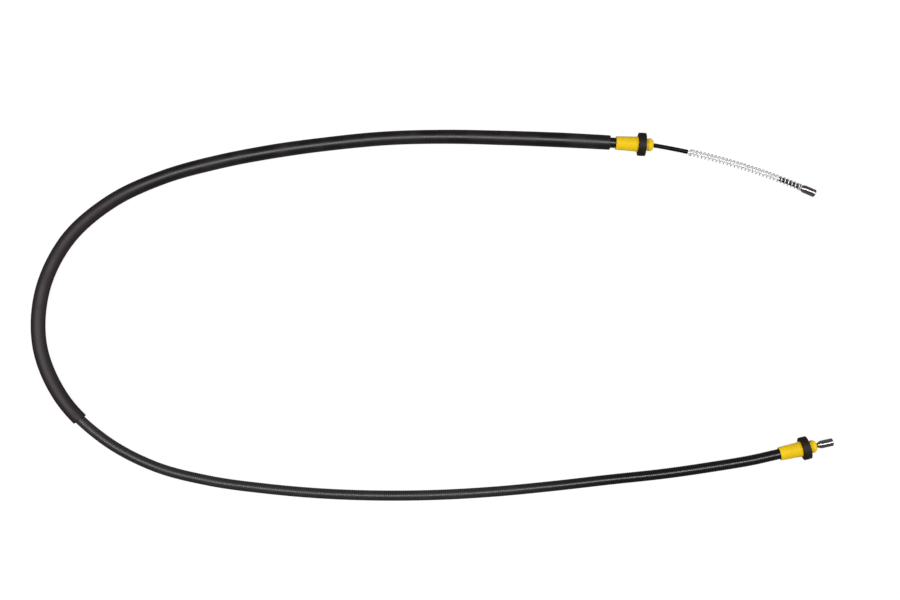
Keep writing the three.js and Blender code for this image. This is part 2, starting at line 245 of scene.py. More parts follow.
# Mesh making. SHARP_EDGE is in degrees, and the sides are the points round each piece.
SHARP_EDGE = 38
JACKET_SIDES = 24
HOSE_SIDES = 48
LINER_SIDES = 28
ROPE_SIDES = 42
NIPPLE_SIDES = 56
MOULDED_SIDES = 112
RING_SIDES = 96


def skin(name, rings, along, body, closed=True, nodes=(), slot=None, sharp=SHARP_EDGE):
    """A smooth skin over rings of points; closed joins the last ring to the first, or else both
    ends get a flat cap. The UV map holds the place around and the distance along."""
    rings = np.asarray(rings)
    count, sides = rings.shape[:2]
    faces, places = [], []
    for i in range(count if closed else count - 1):
        k = (i + 1) % count
        for j in range(sides):
            n = (j + 1) % sides
            faces.append((i * sides + j, i * sides + n, k * sides + n, k * sides + j))
            u, v = j / sides, (j + 1) / sides
            places += [(u, along[i]), (v, along[i]), (v, along[k]), (u, along[k])]
    if not closed:
        for first, end in ((0, 0), ((count - 1) * sides, count - 1)):
            faces.append(tuple(first + j for j in range(sides)))
            places += [(0.5, along[end])] * sides
    mesh = bpy.data.meshes.new(name)
    mesh.from_pydata([tuple(p) for p in rings.reshape(-1, 3)], [], faces)
    uv = mesh.uv_layers.new(name="along")
    uv.data.foreach_set("uv", np.array(places, dtype=np.float32).ravel())
    work = bmesh.new()
    work.from_mesh(mesh)
    bmesh.ops.recalc_face_normals(work, faces=work.faces)
    work.to_mesh(mesh)
    work.free()
    mesh.polygons.foreach_set("use_smooth", [True] * len(mesh.polygons))
    mesh.set_sharp_from_angle(angle=math.radians(sharp))
    piece = bpy.data.objects.new(name, mesh)
    bpy.context.scene.collection.objects.link(piece)
    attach(piece, body)
    if nodes:
        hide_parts(*nodes)
    return piece


def swept(name, profile, sides, body, at=cable_at, relief=None, slant=None, **more):
    """A body of the given half section, (place along, radius), carried round the line at().
    relief adds to the radius and slant to the place along, both by the angle round the line."""
    angles = np.arange(sides) * 2 * math.pi / sides
    rings, along = [], []
    for s, r in profile:
        point, direction = at(s)
        side = unit(np.cross(direction, UP))
        over = np.cross(side, direction)
        radii = r + (relief(s, angles, r) if relief else 0) + np.zeros(sides)
        ahead = (slant(s, angles, r) if slant else 0) + np.zeros(sides)
        rings.append(
            point
            + ahead[:, None] * direction
            + (radii * np.cos(angles))[:, None] * side
            + (radii * np.sin(angles))[:, None] * over
        )
        along.append(s)
    return skin(name, rings, along, body, **more)


def rounded(corners, steps=4):
    """A closed half section from corners (place along, radius, rounding)."""
    out = []
    for i, (s, r, size) in enumerate(corners):
        here = np.array([s, r])
        if size <= 0:
            out.append(here)
            continue
        before = np.array(corners[i - 1][:2]) - here
        after = np.array(corners[(i + 1) % len(corners)][:2]) - here
        reach = min(size, 0.45 * np.linalg.norm(before), 0.45 * np.linalg.norm(after))
        a, b = here + unit(before) * reach, here + unit(after) * reach
        for k in range(steps + 1):
            t = k / steps
            out.append(a * (1 - t) ** 2 + here * 2 * t * (1 - t) + b * t * t)
    return [(p[0] * MM, p[1] * MM) for p in out]


def evenly(start, end, step):
    count = max(1, round((end - start) / step))
    return list(np.linspace(start, end, count + 1))


# Conduit jacket and hose
RIB_PITCH = 1.8 * MM
RIB_DEPTH = 0.13 * MM
RIB_SHARPNESS = 1.6
STEPS_PER_RIB = 6
RIBS_INTO_HOSE = 12 * MM
JACKET_EDGE = 0.15 * MM
HOSE_EDGE = 0.32 * MM
HOSE_INNER_EDGE = 0.15 * MM
HOSE_END_ZONE = 3 * MM
HOSE_CUT_SKEW = math.radians(9)
HOSE_CUT_ZONE = 6 * MM
HOSE_WANDER = ((0.035 * MM, 10.5 * MM, 0), (0.03 * MM, 23.7 * MM, 1))
HOSE_FLEX_DEPTH = 0.07 * MM
HOSE_FLEX_PLACE = 52 * MM
HOSE_FLEX_WIDTH = 6 * MM
HOSE_FLEX_SIDE = 1.2
hose_start, hose_end = conduit_start + HOSE_START, conduit_start + HOSE_START + HOSE_LENGTH


def jacket_ribs(s, angles, radius):
    """Shallow helical valleys between the turns of the armour under the jacket."""
    if radius < (JACKET_BORE + JACKET_RADIUS) / 2:
        return 0
    turn = s / RIB_PITCH - angles / (2 * math.pi)
    return -RIB_DEPTH * (0.5 - 0.5 * np.cos(2 * math.pi * turn)) ** RIB_SHARPNESS


def make_jacket():
    start, end = conduit_start - JACKET_DEPTH, conduit_end + JACKET_DEPTH
    shown = RIB_PITCH / STEPS_PER_RIB
    covered = RIBS_INTO_HOSE + 2 * MM
    outer = [
        *evenly(start, hose_start + RIBS_INTO_HOSE, shown)[1:],
        *evenly(hose_start + covered, hose_end - covered, 5 * MM),
        *evenly(hose_end - RIBS_INTO_HOSE, end, shown)[:-1],
    ]
    profile = [(start, JACKET_BORE), (start, JACKET_RADIUS - JACKET_EDGE)]
    profile += [(s, JACKET_RADIUS) for s in outer]
    profile += [(end, JACKET_RADIUS - JACKET_EDGE), (end, JACKET_BORE)]
    profile += [(s, JACKET_BORE) for s in evenly(start, end, 9 * MM)[-2:0:-1]]
    piece = swept(
        "conduit_skin",
        profile,
        JACKET_SIDES,
        "conduit",
        relief=jacket_ribs,
        nodes=["conduit_jacket"],
        slot="jacket_plastic",
        sharp=50,
    )
    return piece


# The hose's form: metres from its upper end, and its outer radius there in millimetres. It is
# drawn tighter over the top and the left bend and is looser at its two ends, with a slight
# swelling where it has been flexed.
HOSE_FORM = np.array(
    [
        [0.0, 6.08],
        [0.02, 6.12],
        [0.045, 6.28],
        [0.06, 6.24],
        [0.08, 6.12],
        [0.1, 6.14],
        [0.125, 6.04],
        [0.15, 5.86],
        [0.18, 5.92],
        [0.28, 5.94],
        [0.34, 5.92],
        [0.42, 5.94],
        [0.5, 6.0],
        [0.58, 6.08],
        [0.65, 6.1],
    ]
)


def hose_form(s, angles, radius):
    """The hose's uneven fit, a slight wander of its outside and one shallow flexing mark."""
    if radius < (HOSE_BORE + HOSE_RADIUS) / 2:
        return 0
    place = s - hose_start
    fit = np.interp(place, HOSE_FORM[:, 0], HOSE_FORM[:, 1]) * MM - HOSE_RADIUS
    wander = sum(size * math.sin(place / wave + phase) for size, wave, phase in HOSE_WANDER)
    flex = HOSE_FLEX_DEPTH * math.exp(-(((place - HOSE_FLEX_PLACE) / HOSE_FLEX_WIDTH) ** 2))
    return fit + wander - flex * np.cos(angles - HOSE_FLEX_SIDE)


def hose_cut(s, angles, radius):
    """The hose's lower end is cut a little askew, short on the outer side of the bend."""
    near_end = max(0, 1 - (hose_end - s) / HOSE_CUT_ZONE)
    return -near_end * math.tan(HOSE_CUT_SKEW) * radius * (1 + np.cos(angles))


def make_hose():
    length, bore, radius = HOSE_LENGTH / MM, HOSE_BORE / MM, HOSE_RADIUS / MM
    inner_edge, edge, steps = HOSE_INNER_EDGE / MM, HOSE_EDGE / MM, 5
    ends = rounded(
        [
            (0, bore, inner_edge),
            (0, radius, edge),
            (length, radius, edge),
            (length, bore, inner_edge),
        ],
        steps,
    )
    half = 2 * (steps + 1)
    first, last = ends[:half], ends[half:]
    zone = (HOSE_END_ZONE, HOSE_LENGTH - HOSE_END_ZONE)
    middle = [(s, HOSE_RADIUS) for s in evenly(*zone, 3 * MM)]
    inside = [(s, HOSE_BORE) for s in evenly(*zone, 9 * MM)[::-1]]
    profile = [(hose_start + s, r) for s, r in [*first, *middle, *last, *inside]]
    piece = swept(
        "hose_sheath",
        profile,
        HOSE_SIDES,
        "conduit",
        relief=hose_form,
        slant=hose_cut,
        nodes=["protective_hose"],
        slot="hose_rubber",
    )
    return piece


# Liner
LINER_EDGE = 0.08 * MM


def make_liner():
    start, end = -LINER_STANDOUT, lower_mouth + LINER_END_STANDOUT
    stations = [
        *evenly(start + LINER_EDGE, conduit_start, 1.5 * MM),
        *evenly(conduit_start + 6 * MM, conduit_end - 6 * MM, 6 * MM),
        *evenly(conduit_end, end - LINER_EDGE, 4 * MM),
    ]
    profile = [(start, LINER_BORE), (start, LINER_RADIUS - LINER_EDGE)]
    profile += [(s, LINER_RADIUS) for s in stations]
    profile += [(end, LINER_RADIUS - LINER_EDGE), (end, LINER_BORE)]
    profile += [(s, LINER_BORE) for s in stations[::-1]]
    piece = swept(
        "liner_tube",
        profile,
        LINER_SIDES,
        "conduit",
        nodes=["inner_liner"],
        slot="liner_plastic",
    )
    return piece


# Rope tails, spring, sleeve and nipples
STRANDS = 6
STRAND_LAY = 15 * MM
ROPE_STEP = 0.6 * MM
SPRING_BURR = 0.1 * MM
SWAGING_DEPTH = 0.05 * MM
SWAGING_LENGTH = 9.8 * MM
SWAGING_TURN = 0.6


def rope_strands(s, angles, radius):
    """Six strands laid round a middle one, each a third of the rope's own width."""
    strand = radius / 3
    phase = (angles - 2 * math.pi * s / STRAND_LAY) * STRANDS / (2 * math.pi)
    off = (phase - np.floor(phase) - 0.5) * 2 * math.pi / STRANDS
    reach = 2 * strand
    half = np.sqrt(np.maximum(strand**2 - (reach * np.sin(off)) ** 2, 0))
    return reach * np.cos(off) + half - radius


def make_rope_tails():
    start, end = -upper_nipple_start - ROPE_END_IN_NIPPLE, TAIL_REACH - CABLE_TRAVEL
    upper = swept(
        "upper_rope_strands",
        [(s, ROPE_RADIUS) for s in evenly(start, end, ROPE_STEP)],
        ROPE_SIDES,
        "upper_tail",
        relief=rope_strands,
        closed=False,
        nodes=["rope_upper_tail"],
        slot="rope_steel",
        sharp=60,
    )
    lower_start, lower_end = lower_mouth - LOWER_TAIL_DEPTH, lower_nipple_start + ROPE_END_IN_NIPPLE
    lower = swept(
        "lower_rope_strands",
        [(s, ROPE_RADIUS) for s in evenly(lower_start, lower_end, ROPE_STEP)],
        ROPE_SIDES,
        "lower_tail",
        relief=rope_strands,
        closed=False,
        nodes=["rope_lower_tail"],
        slot="rope_steel",
        sharp=60,
    )
    return [upper, lower]


def spring_place(turn):
    """Point on the wire's centreline after so many turns, and the way out from the tail there."""
    middle = min(max(turn - 1, 0), SPRING_TURNS - 2)
    pitch = (SPRING_END - SPRING_START - 2 * SPRING_END_PITCH) / (SPRING_TURNS - 2)
    place = SPRING_START + SPRING_END_PITCH * (turn - middle) + pitch * middle
    angle = 2 * math.pi * turn
    across = np.cross(tail.direction, tail.normal)
    outward = tail.inward(place) * math.cos(angle) + across * math.sin(angle)
    return tail.point(place) + outward * SPRING_RADIUS, outward


def make_spring():
    """Round wire wound round the tail, its first and last turns closed up."""
    per_turn, sides = 30, 12
    count = SPRING_TURNS * per_turn
    places = [spring_place(i / per_turn) for i in range(count + 1)]
    points = np.array([p for p, _ in places])
    slopes = np.gradient(points, axis=0)
    angles = np.arange(sides) * 2 * math.pi / sides
    rings, along = [], []

    def ring(i, radius, shift=0.0):
        direction = unit(slopes[i])
        outward = unit(places[i][1] - direction * np.dot(places[i][1], direction))
        beside = np.cross(direction, outward)
        rings.append(
            points[i]
            + direction * shift
            + radius * np.cos(angles)[:, None] * outward
            + radius * np.sin(angles)[:, None] * beside
        )
        along.append(i / per_turn)

    ring(0, SPRING_WIRE_RADIUS - SPRING_BURR)
    ring(0, SPRING_WIRE_RADIUS, SPRING_BURR)
    for i in range(1, count):
        ring(i, SPRING_WIRE_RADIUS)
    ring(count, SPRING_WIRE_RADIUS, -SPRING_BURR)
    ring(count, SPRING_WIRE_RADIUS - SPRING_BURR)
    return skin(
        "spring_coil",
        rings,
        along,
        "upper_tail",
        closed=False,
        nodes=["return_spring"],
        slot="spring_steel",
    )


def make_sleeve():
    start = -upper_nipple_start + SEAT_GAP
    length, bore, radius, steps = SLEEVE_LENGTH / MM, SLEEVE_BORE / MM, SLEEVE_RADIUS / MM, 3
    section = rounded(
        [
            (0, bore, 0.05),
            (0, radius, 0.12),
            (length, radius, 0.12),
            (length, bore, 0.05),
        ],
        steps,
    )
    half = 2 * (steps + 1)
    zone = (1.5 * MM, SLEEVE_LENGTH - 1.5 * MM)
    outer = [(s, SLEEVE_RADIUS) for s in evenly(*zone, 1.5 * MM)]
    inner = [(s, SLEEVE_BORE) for s in evenly(*zone, 3 * MM)[::-1]]
    profile = [(start + s, r) for s, r in [*section[:half], *outer, *section[half:], *inner]]
    return swept(
        "sleeve_tube",
        profile,
        LINER_SIDES,
        "upper_tail",
        nodes=["spring_sleeve"],
        slot="sleeve_plastic",
    )


def nipple_marks(s, angles, radius):
    """Light flats where the swaging dies closed on the barrel."""
    place = s - NIPPLE_TAPER
    if radius < NIPPLE_RADIUS - 0.2 * MM or not 0 < place < SWAGING_LENGTH:
        return 0
    middle = math.sin(math.pi * place / SWAGING_LENGTH)
    return -SWAGING_DEPTH * middle * np.maximum(np.cos(2 * angles + SWAGING_TURN), 0) ** 3


def make_nipple(name, start, axis, body, node):
    """A barrel with a tapered mouth, a blind bore for the rope and a soft far edge."""
    length, radius, bore = NIPPLE_LENGTH / MM, NIPPLE_RADIUS / MM, NIPPLE_BORE / MM
    bore_depth, far_edge, middle = 11.4, 0.35, 0.25
    section = rounded(
        [
            (bore_depth, middle, 0),
            (bore_depth, bore, 0.1),
            (0, bore, 0.15),
            (0, NIPPLE_TAPER_RADIUS / MM, 0.25),
            (NIPPLE_TAPER / MM, radius, 0.8),
            (length - far_edge, radius, 0.2),
            (length, radius - far_edge, 0.2),
            (length, middle, 0.1),
        ]
    )
    at_barrel = next(i for i, (s, r) in enumerate(section) if s > 12 * MM and r > 3 * MM)
    barrel = [(s, NIPPLE_RADIUS) for s in evenly(3.6 * MM, 12.2 * MM, 0.6 * MM)]
    section = [*section[:at_barrel], *barrel, *section[at_barrel:]]
    return swept(
        name,
        section,
        NIPPLE_SIDES,
        body,
        at=straight(start, axis),
        relief=nipple_marks,
        nodes=[node],
        slot="nipple_steel",
    )


# Fittings and seal rings. The moulding's half section is in millimetres: place along from its
# tail, radius, rounding.
BODY_LENGTH = 18.6
FLANGE_RADIUS = 6.65
SEAL_SEAT_RADIUS = 4.9
LIP_START = 27.4
FITTING_END = FITTING_LENGTH / MM
TAIL_BORE_RADIUS = 4.7
TAIL_BORE_DEPTH = 17.3
LINER_HOLE_RADIUS = 2.1
BODY_START, BODY_START_RADIUS = 1.6, 5.74
BODY_END, BODY_END_RADIUS = 17.0, 6.24
FITTING_CORNERS = [
    (0, TAIL_BORE_RADIUS, 0.3),
    (0, 5.7, 0.5),
    (BODY_START, BODY_START_RADIUS, 0.2),
    (BODY_END, BODY_END_RADIUS, 0.25),
    (17.35, 6.62, 0.3),
    (BODY_LENGTH, FLANGE_RADIUS, 0.3),
    (BODY_LENGTH, SEAL_SEAT_RADIUS, 0.15),
    (LIP_START, SEAL_SEAT_RADIUS, 0.15),
    (LIP_START, 5.35, 0.2),
    (30.0, 5.3, 0.35),
    (FITTING_END, 3.5, 0.35),
    (FITTING_END, 2.8, 0.2),
    (22.7, LINER_HOLE_RADIUS, 0.5),
    (TAIL_BORE_DEPTH, LINER_HOLE_RADIUS, 0.1),
    (TAIL_BORE_DEPTH, TAIL_BORE_RADIUS, 0.1),
]
PARTING_LINE_HEIGHT = 0.07 * MM
PARTING_LINE_SIDE = 0.9985
SNAP_SLOT_MIDDLE = 29.3 * MM
SNAP_SLOT_WIDTH = 1.1 * MM
SNAP_SLOT_LENGTH = 6.8 * MM
SNAP_SLOT_EDGE = 0.2 * MM
SLOT_CUT_WIDTH = 16 * MM


def parting_line(s, angles, radius):
    """A fine raised line down both sides of the moulding, where the mould's halves met."""
    if radius < 4.8 * MM or s > BODY_LENGTH * MM:
        return 0
    return PARTING_LINE_HEIGHT * (np.abs(np.cos(angles)) > PARTING_LINE_SIDE)


def slot_cutter(angle, start, axis):
    """A thin blade across the nose that opens two of its four snap slots."""
    side = unit(np.cross(axis, UP))
    over = np.cross(side, axis)
    wide = math.cos(angle) * side + math.sin(angle) * over
    thin = -math.sin(angle) * side + math.cos(angle) * over
    middle = start + axis * SNAP_SLOT_MIDDLE
    work = bmesh.new()
    made = bmesh.ops.create_cube(work, size=1)
    for v in made["verts"]:
        x, y, z = v.co
        across = wide * x * SLOT_CUT_WIDTH + thin * y * SNAP_SLOT_WIDTH
        v.co = Vector(middle + across + axis * z * SNAP_SLOT_LENGTH)
    bmesh.ops.recalc_face_normals(work, faces=work.faces)
    bmesh.ops.bevel(
        work,
        geom=list(work.edges),
        offset=SNAP_SLOT_EDGE,
        segments=2,
        affect="EDGES",
        profile=0.5,
    )
    mesh = bpy.data.meshes.new("slot_blade")
    work.to_mesh(mesh)
    work.free()
    blade = bpy.data.objects.new("slot_blade", mesh)
    bpy.context.scene.collection.objects.link(blade)
    return blade


def make_fitting(name, start, axis, node):
    """The yellow moulding, turned from its half section, with the snap slots cut in its nose."""
    section = rounded(FITTING_CORNERS)
    slope = (BODY_END_RADIUS - BODY_START_RADIUS) / (BODY_END - BODY_START)
    body_rings = [
        (s, (BODY_START_RADIUS + slope * (s / MM - BODY_START)) * MM)
        for s in evenly(2.5 * MM, 16.4 * MM, 1.1 * MM)
    ]
    at_body = next(i for i, (s, r) in enumerate(section) if s > 16 * MM)
    section = [*section[:at_body], *body_rings, *section[at_body:]]
    piece = swept(
        name,
        section,
        MOULDED_SIDES,
        "conduit",
        at=straight(start, axis),
        relief=parting_line,
        nodes=[node],
        slot="yellow_moulding",
    )
    blades = [slot_cutter(a, start, axis) for a in (math.pi / 4, -math.pi / 4)]
    for blade in blades:
        cut = piece.modifiers.new("slot", "BOOLEAN")
        cut.operation, cut.object, cut.solver = "DIFFERENCE", blade, "EXACT"
    cut_piece = piece.evaluated_get(bpy.context.evaluated_depsgraph_get())
    shape = bpy.data.meshes.new_from_object(cut_piece)
    piece.modifiers.clear()
    piece.data = shape
    shape.set_sharp_from_angle(angle=math.radians(SHARP_EDGE))
    for blade in blades:
        bpy.data.objects.remove(blade)
    return piece


def make_ring(name, start, axis, node, tilt):
    """A thick rubber ring, seated slightly askew, with soft edges and a faint moulding line."""
    near, far, inside, outside, line = 18.95, 25.15, 5.25, 9.8, 9.86
    corners = [
        (near, inside, 0.3),
        (near, 9.75, 0.45),
        (22.0, outside, 0.1),
        (22.05, line, 0.03),
        (22.15, line, 0.03),
        (22.2, outside, 0.1),
        (far, 9.72, 0.45),
        (far, inside, 0.3),
    ]
    half_way = (near + far) / 2 * MM
    middle = start + axis * half_way
    turn = np.array(
        [
            [math.cos(tilt), -math.sin(tilt), 0],
            [math.sin(tilt), math.cos(tilt), 0],
            [0, 0, 1],
        ]
    )
    leaning = turn @ axis
    return swept(
        name,
        rounded(corners, 5),
        RING_SIDES,
        "conduit",
        at=straight(middle - leaning * half_way, leaning),
        nodes=[node],
        slot="ring_rubber",
    )


# Shared shader groups
def new_group(name, inputs, outputs):
    """An empty shader node group with named sockets, and the nodes at its two ends."""
    group = bpy.data.node_groups.new(name, "ShaderNodeTree")
    for label, kind, value in inputs:
        socket = group.interface.new_socket(label, in_out="INPUT", socket_type=kind)
        socket.default_value = value
    for label, kind in outputs:
        group.interface.new_socket(label, in_out="OUTPUT", socket_type=kind)
    return group, group.nodes.new("NodeGroupInput"), group.nodes.new("NodeGroupOutput")


def add(tree, kind, **values):
    node = tree.nodes.new(kind)
    for key, value in values.items():
        if hasattr(node, key):
            setattr(node, key, value)
        else:
            node.inputs[key.replace("_", " ")].default_value = value
    return node


def join(tree, *pairs):
    for a, b in pairs:
        tree.links.new(a, b)


FLOAT, VECTOR = "NodeSocketFloat", "NodeSocketVector"


def grain_group():
    """Fine uneven grain: a value near 0.5, and a normal bumped by it."""
    group, given, out = new_group(
        "fine_grain",
        [("Scale", FLOAT, 900.0), ("Distance", FLOAT, 0.00003), ("Strength", FLOAT, 0.5)],
        [("Value", FLOAT), ("Normal", VECTOR)],
    )
    place = add(group, "ShaderNodeTexCoord")
    noise = add(group, "ShaderNodeTexNoise", Detail=4.0, Roughness=0.62)
    bump = add(group, "ShaderNodeBump")
    join(
        group,
        (place.outputs["Object"], noise.inputs["Vector"]),
        (given.outputs["Scale"], noise.inputs["Scale"]),
        (noise.outputs["Fac"], bump.inputs["Height"]),
        (given.outputs["Distance"], bump.inputs["Distance"]),
        (given.outputs["Strength"], bump.inputs["Strength"]),
        (noise.outputs["Fac"], out.inputs["Value"]),
        (bump.outputs["Normal"], out.inputs["Normal"]),
    )
    return group


def wear_group():
    """A mask that is 1 on raised edges, broken up by noise."""
    group, given, out = new_group(
        "edge_wear",
        [("Start", FLOAT, 0.52), ("End", FLOAT, 0.6), ("Break Scale", FLOAT, 700.0)],
        [("Mask", FLOAT)],
    )
    shape = add(group, "ShaderNodeNewGeometry")
    place = add(group, "ShaderNodeTexCoord")
    noise = add(group, "ShaderNodeTexNoise", Detail=3.0)
    ramp = add(group, "ShaderNodeMapRange", clamp=True)
    broken = add(group, "ShaderNodeMath", operation="MULTIPLY")
    join(
        group,
        (place.outputs["Object"], noise.inputs["Vector"]),
        (given.outputs["Break Scale"], noise.inputs["Scale"]),
        (shape.outputs["Pointiness"], ramp.inputs["Value"]),
        (given.outputs["Start"], ramp.inputs["From Min"]),
        (given.outputs["End"], ramp.inputs["From Max"]),
        (ramp.outputs["Result"], broken.inputs[0]),
        (noise.outputs["Fac"], broken.inputs[1]),
        (broken.outputs[0], out.inputs["Mask"]),
    )
    return group


def dust_group():
    """A mask of thin uneven dust and rub marks."""
    group, given, out = new_group(
        "dust_film",
        [
            ("Scale", FLOAT, 60.0),
            ("Low", FLOAT, 0.5),
            ("High", FLOAT, 0.78),
            ("Speck Scale", FLOAT, 1500.0),
        ],
        [("Film", FLOAT), ("Specks", FLOAT)],
    )
    place = add(group, "ShaderNodeTexCoord")
    patches = add(group, "ShaderNodeTexNoise", Detail=5.0, Roughness=0.6)
    film = add(group, "ShaderNodeMapRange", clamp=True)
    specks = add(group, "ShaderNodeTexNoise", Detail=1.0)
    dots = add(group, "ShaderNodeMapRange", clamp=True)
    dots.inputs["From Min"].default_value = 0.7
    dots.inputs["From Max"].default_value = 0.76
    join(
        group,
        (place.outputs["Object"], patches.inputs["Vector"]),
        (place.outputs["Object"], specks.inputs["Vector"]),
        (given.outputs["Scale"], patches.inputs["Scale"]),
        (given.outputs["Speck Scale"], specks.inputs["Scale"]),
        (patches.outputs["Fac"], film.inputs["Value"]),
        (given.outputs["Low"], film.inputs["From Min"]),
        (given.outputs["High"], film.inputs["From Max"]),
        (specks.outputs["Fac"], dots.inputs["Value"]),
        (film.outputs["Result"], out.inputs["Film"]),
        (dots.outputs["Result"], out.inputs["Specks"]),
    )
    return group


def windings_group():
    """A mask along a piece's UV map: a value that is 1 in the valley of each turn of a winding,
    used for the painted shade and the added roughness in those valleys.
    """
    group, given, out = new_group(
        "valley_shade",
        [("Turns Per Metre", FLOAT, 555.6), ("Sharpness", FLOAT, 2.0)],
        [("Valley", FLOAT)],
    )
    place = add(group, "ShaderNodeUVMap", uv_map="along")
    parts = add(group, "ShaderNodeSeparateXYZ")
    turns = add(group, "ShaderNodeMath", operation="MULTIPLY")
    phase = add(group, "ShaderNodeMath", operation="SUBTRACT")
    wave = add(group, "ShaderNodeMath", operation="SINE")
    full = add(group, "ShaderNodeMath", operation="MULTIPLY")
    full.inputs[1].default_value = math.pi
    depth = add(group, "ShaderNodeMath", operation="ABSOLUTE")
    sharp = add(group, "ShaderNodeMath", operation="POWER")
    join(
        group,
        (place.outputs["UV"], parts.inputs[0]),
        (parts.outputs["Y"], turns.inputs[0]),
        (given.outputs["Turns Per Metre"], turns.inputs[1]),
        (turns.outputs[0], phase.inputs[0]),
        (parts.outputs["X"], phase.inputs[1]),
        (phase.outputs[0], full.inputs[0]),
        (full.outputs[0], wave.inputs[0]),
        (wave.outputs[0], depth.inputs[0]),
        (depth.outputs[0], sharp.inputs[0]),
        (given.outputs["Sharpness"], sharp.inputs[1]),
        (sharp.outputs[0], out.inputs["Valley"]),
    )
    return group


GRAIN, WEAR, DUST, WINDINGS = grain_group(), wear_group(), dust_group(), windings_group()


def shader(name, **values):
    made = bpy.data.materials.new(name)
    made.use_nodes = True
    tree = made.node_tree
    surface = tree.nodes["Principled BSDF"]
    for key, value in values.items():
        surface.inputs[key.replace("_", " ")].default_value = value
    return made, tree, surface


def use(tree, group, **values):
    node = tree.nodes.new("ShaderNodeGroup")
    node.node_tree = group
    for key, value in values.items():
        node.inputs[key.replace("_", " ")].default_value = value
    return node


def blend_colour(tree, mask, first, second):
    """first where the mask is 0, second where it is 1; either is a colour or a socket."""
    mix = tree.nodes.new("ShaderNodeMix")
    mix.data_type = "RGBA"
    sockets = [mix.inputs[6], mix.inputs[7]]
    for socket, value in zip(sockets, (first, second)):
        if isinstance(value, tuple):
            socket.default_value = (*value, 1)
        else:
            tree.links.new(value, socket)
    tree.links.new(mask, mix.inputs[0])
    return mix.outputs[2]


def blend_value(tree, mask, low, high):
    ramp = add(tree, "ShaderNodeMapRange", clamp=True)
    ramp.inputs["To Min"].default_value = low
    ramp.inputs["To Max"].default_value = high
    tree.links.new(mask, ramp.inputs["Value"])
    return ramp.outputs["Result"]


def toward(tree, start, end):
    """A mask along the cable: 0 before the first place on it, 1 past the second, in metres."""
    place = add(tree, "ShaderNodeUVMap", uv_map="along")
    parts = add(tree, "ShaderNodeSeparateXYZ")
    ramp = add(tree, "ShaderNodeMapRange", clamp=True, interpolation_type="SMOOTHSTEP")
    ramp.inputs["From Min"].default_value = start
    ramp.inputs["From Max"].default_value = end
    join(tree, (place.outputs["UV"], parts.inputs[0]), (parts.outputs["Y"], ramp.inputs["Value"]))
    return ramp.outputs["Result"]


VALLEY_ROUGHER = 0.16
DUSTY_EDGE = 2.2
BRIGHT_EDGE = 1.15
GRAIN_ROUGHER = 0.16


def black_plastic(name, base, dusty, rough, rub, grain, valley_shade=0.0, gloss=0.5, ends=()):
    """Black rubber or plastic with a thin dust film and rubbed roughness. grain is the scale,
    depth and strength of its fine grain. The share given for the armour's valleys is how much of
    the colour is left in them: painted shade in the valleys, which are also made rougher. Each of
    ends is a stretch of the cable over which the finish turns into another colour and roughness."""
    made, tree, surface = shader(name, Specular_IOR_Level=gloss)
    texture = use(tree, GRAIN, Scale=grain[0], Distance=grain[1], Strength=grain[2])
    film = use(tree, DUST, Scale=45.0, Low=0.45, High=0.8)
    wear = use(tree, WEAR, Start=0.53, End=0.62)
    colour = blend_colour(tree, film.outputs["Film"], base, dusty)
    worn = tuple(DUSTY_EDGE * c for c in dusty)
    colour = blend_colour(tree, wear.outputs["Mask"], colour, worn)
    roughness = blend_value(tree, film.outputs["Film"], rough, rub)
    for first, last, end_colour, end_rough in ends:
        mask = toward(tree, first, last)
        colour = blend_colour(tree, mask, colour, end_colour)
        change = add(tree, "ShaderNodeMath", operation="MULTIPLY_ADD")
        change.inputs[1].default_value = end_rough - rough
        join(tree, (mask, change.inputs[0]), (roughness, change.inputs[2]))
        roughness = change.outputs[0]
    # Painted shade in the rib valleys: the colour there is darkened to the given share of the base
    # colour, and the valleys are also made rougher.
    if valley_shade:
        valley = use(tree, WINDINGS, Sharpness=2.0)
        shaded = tuple(valley_shade * c for c in base)
        colour = blend_colour(tree, valley.outputs["Valley"], colour, shaded)
        deeper = add(tree, "ShaderNodeMath", operation="MULTIPLY_ADD")
        deeper.inputs[1].default_value = VALLEY_ROUGHER
        join(tree, (valley.outputs["Valley"], deeper.inputs[0]), (roughness, deeper.inputs[2]))
        roughness = deeper.outputs[0]
    join(
        tree,
        (colour, surface.inputs["Base Color"]),
        (roughness, surface.inputs["Roughness"]),
        (texture.outputs["Normal"], surface.inputs["Normal"]),
    )
    return made


def steel(name, base, dark, rough, tarnish=0.5, metal=1.0):
    """Bright or dull steel with a fine grain in its roughness and darker stains."""
    made, tree, surface = shader(name, Metallic=metal)
    texture = use(tree, GRAIN, Scale=1400.0, Distance=0.00002, Strength=0.35)
    film = use(tree, DUST, Scale=160.0, Low=0.42, High=0.75)
    wear = use(tree, WEAR, Start=0.52, End=0.6)
    stains = add(tree, "ShaderNodeMath", operation="MULTIPLY")
    stains.inputs[1].default_value = tarnish
    join(tree, (film.outputs["Film"], stains.inputs[0]))
    colour = blend_colour(tree, stains.outputs[0], base, dark)
    polished = tuple(min(1.0, BRIGHT_EDGE * c) for c in base)
    colour = blend_colour(tree, wear.outputs["Mask"], colour, polished)
    roughness = blend_value(tree, texture.outputs["Value"], rough, rough + GRAIN_ROUGHER)
    join(
        tree,
        (colour, surface.inputs["Base Color"]),
        (roughness, surface.inputs["Roughness"]),
        (texture.outputs["Normal"], surface.inputs["Normal"]),
    )
    return made


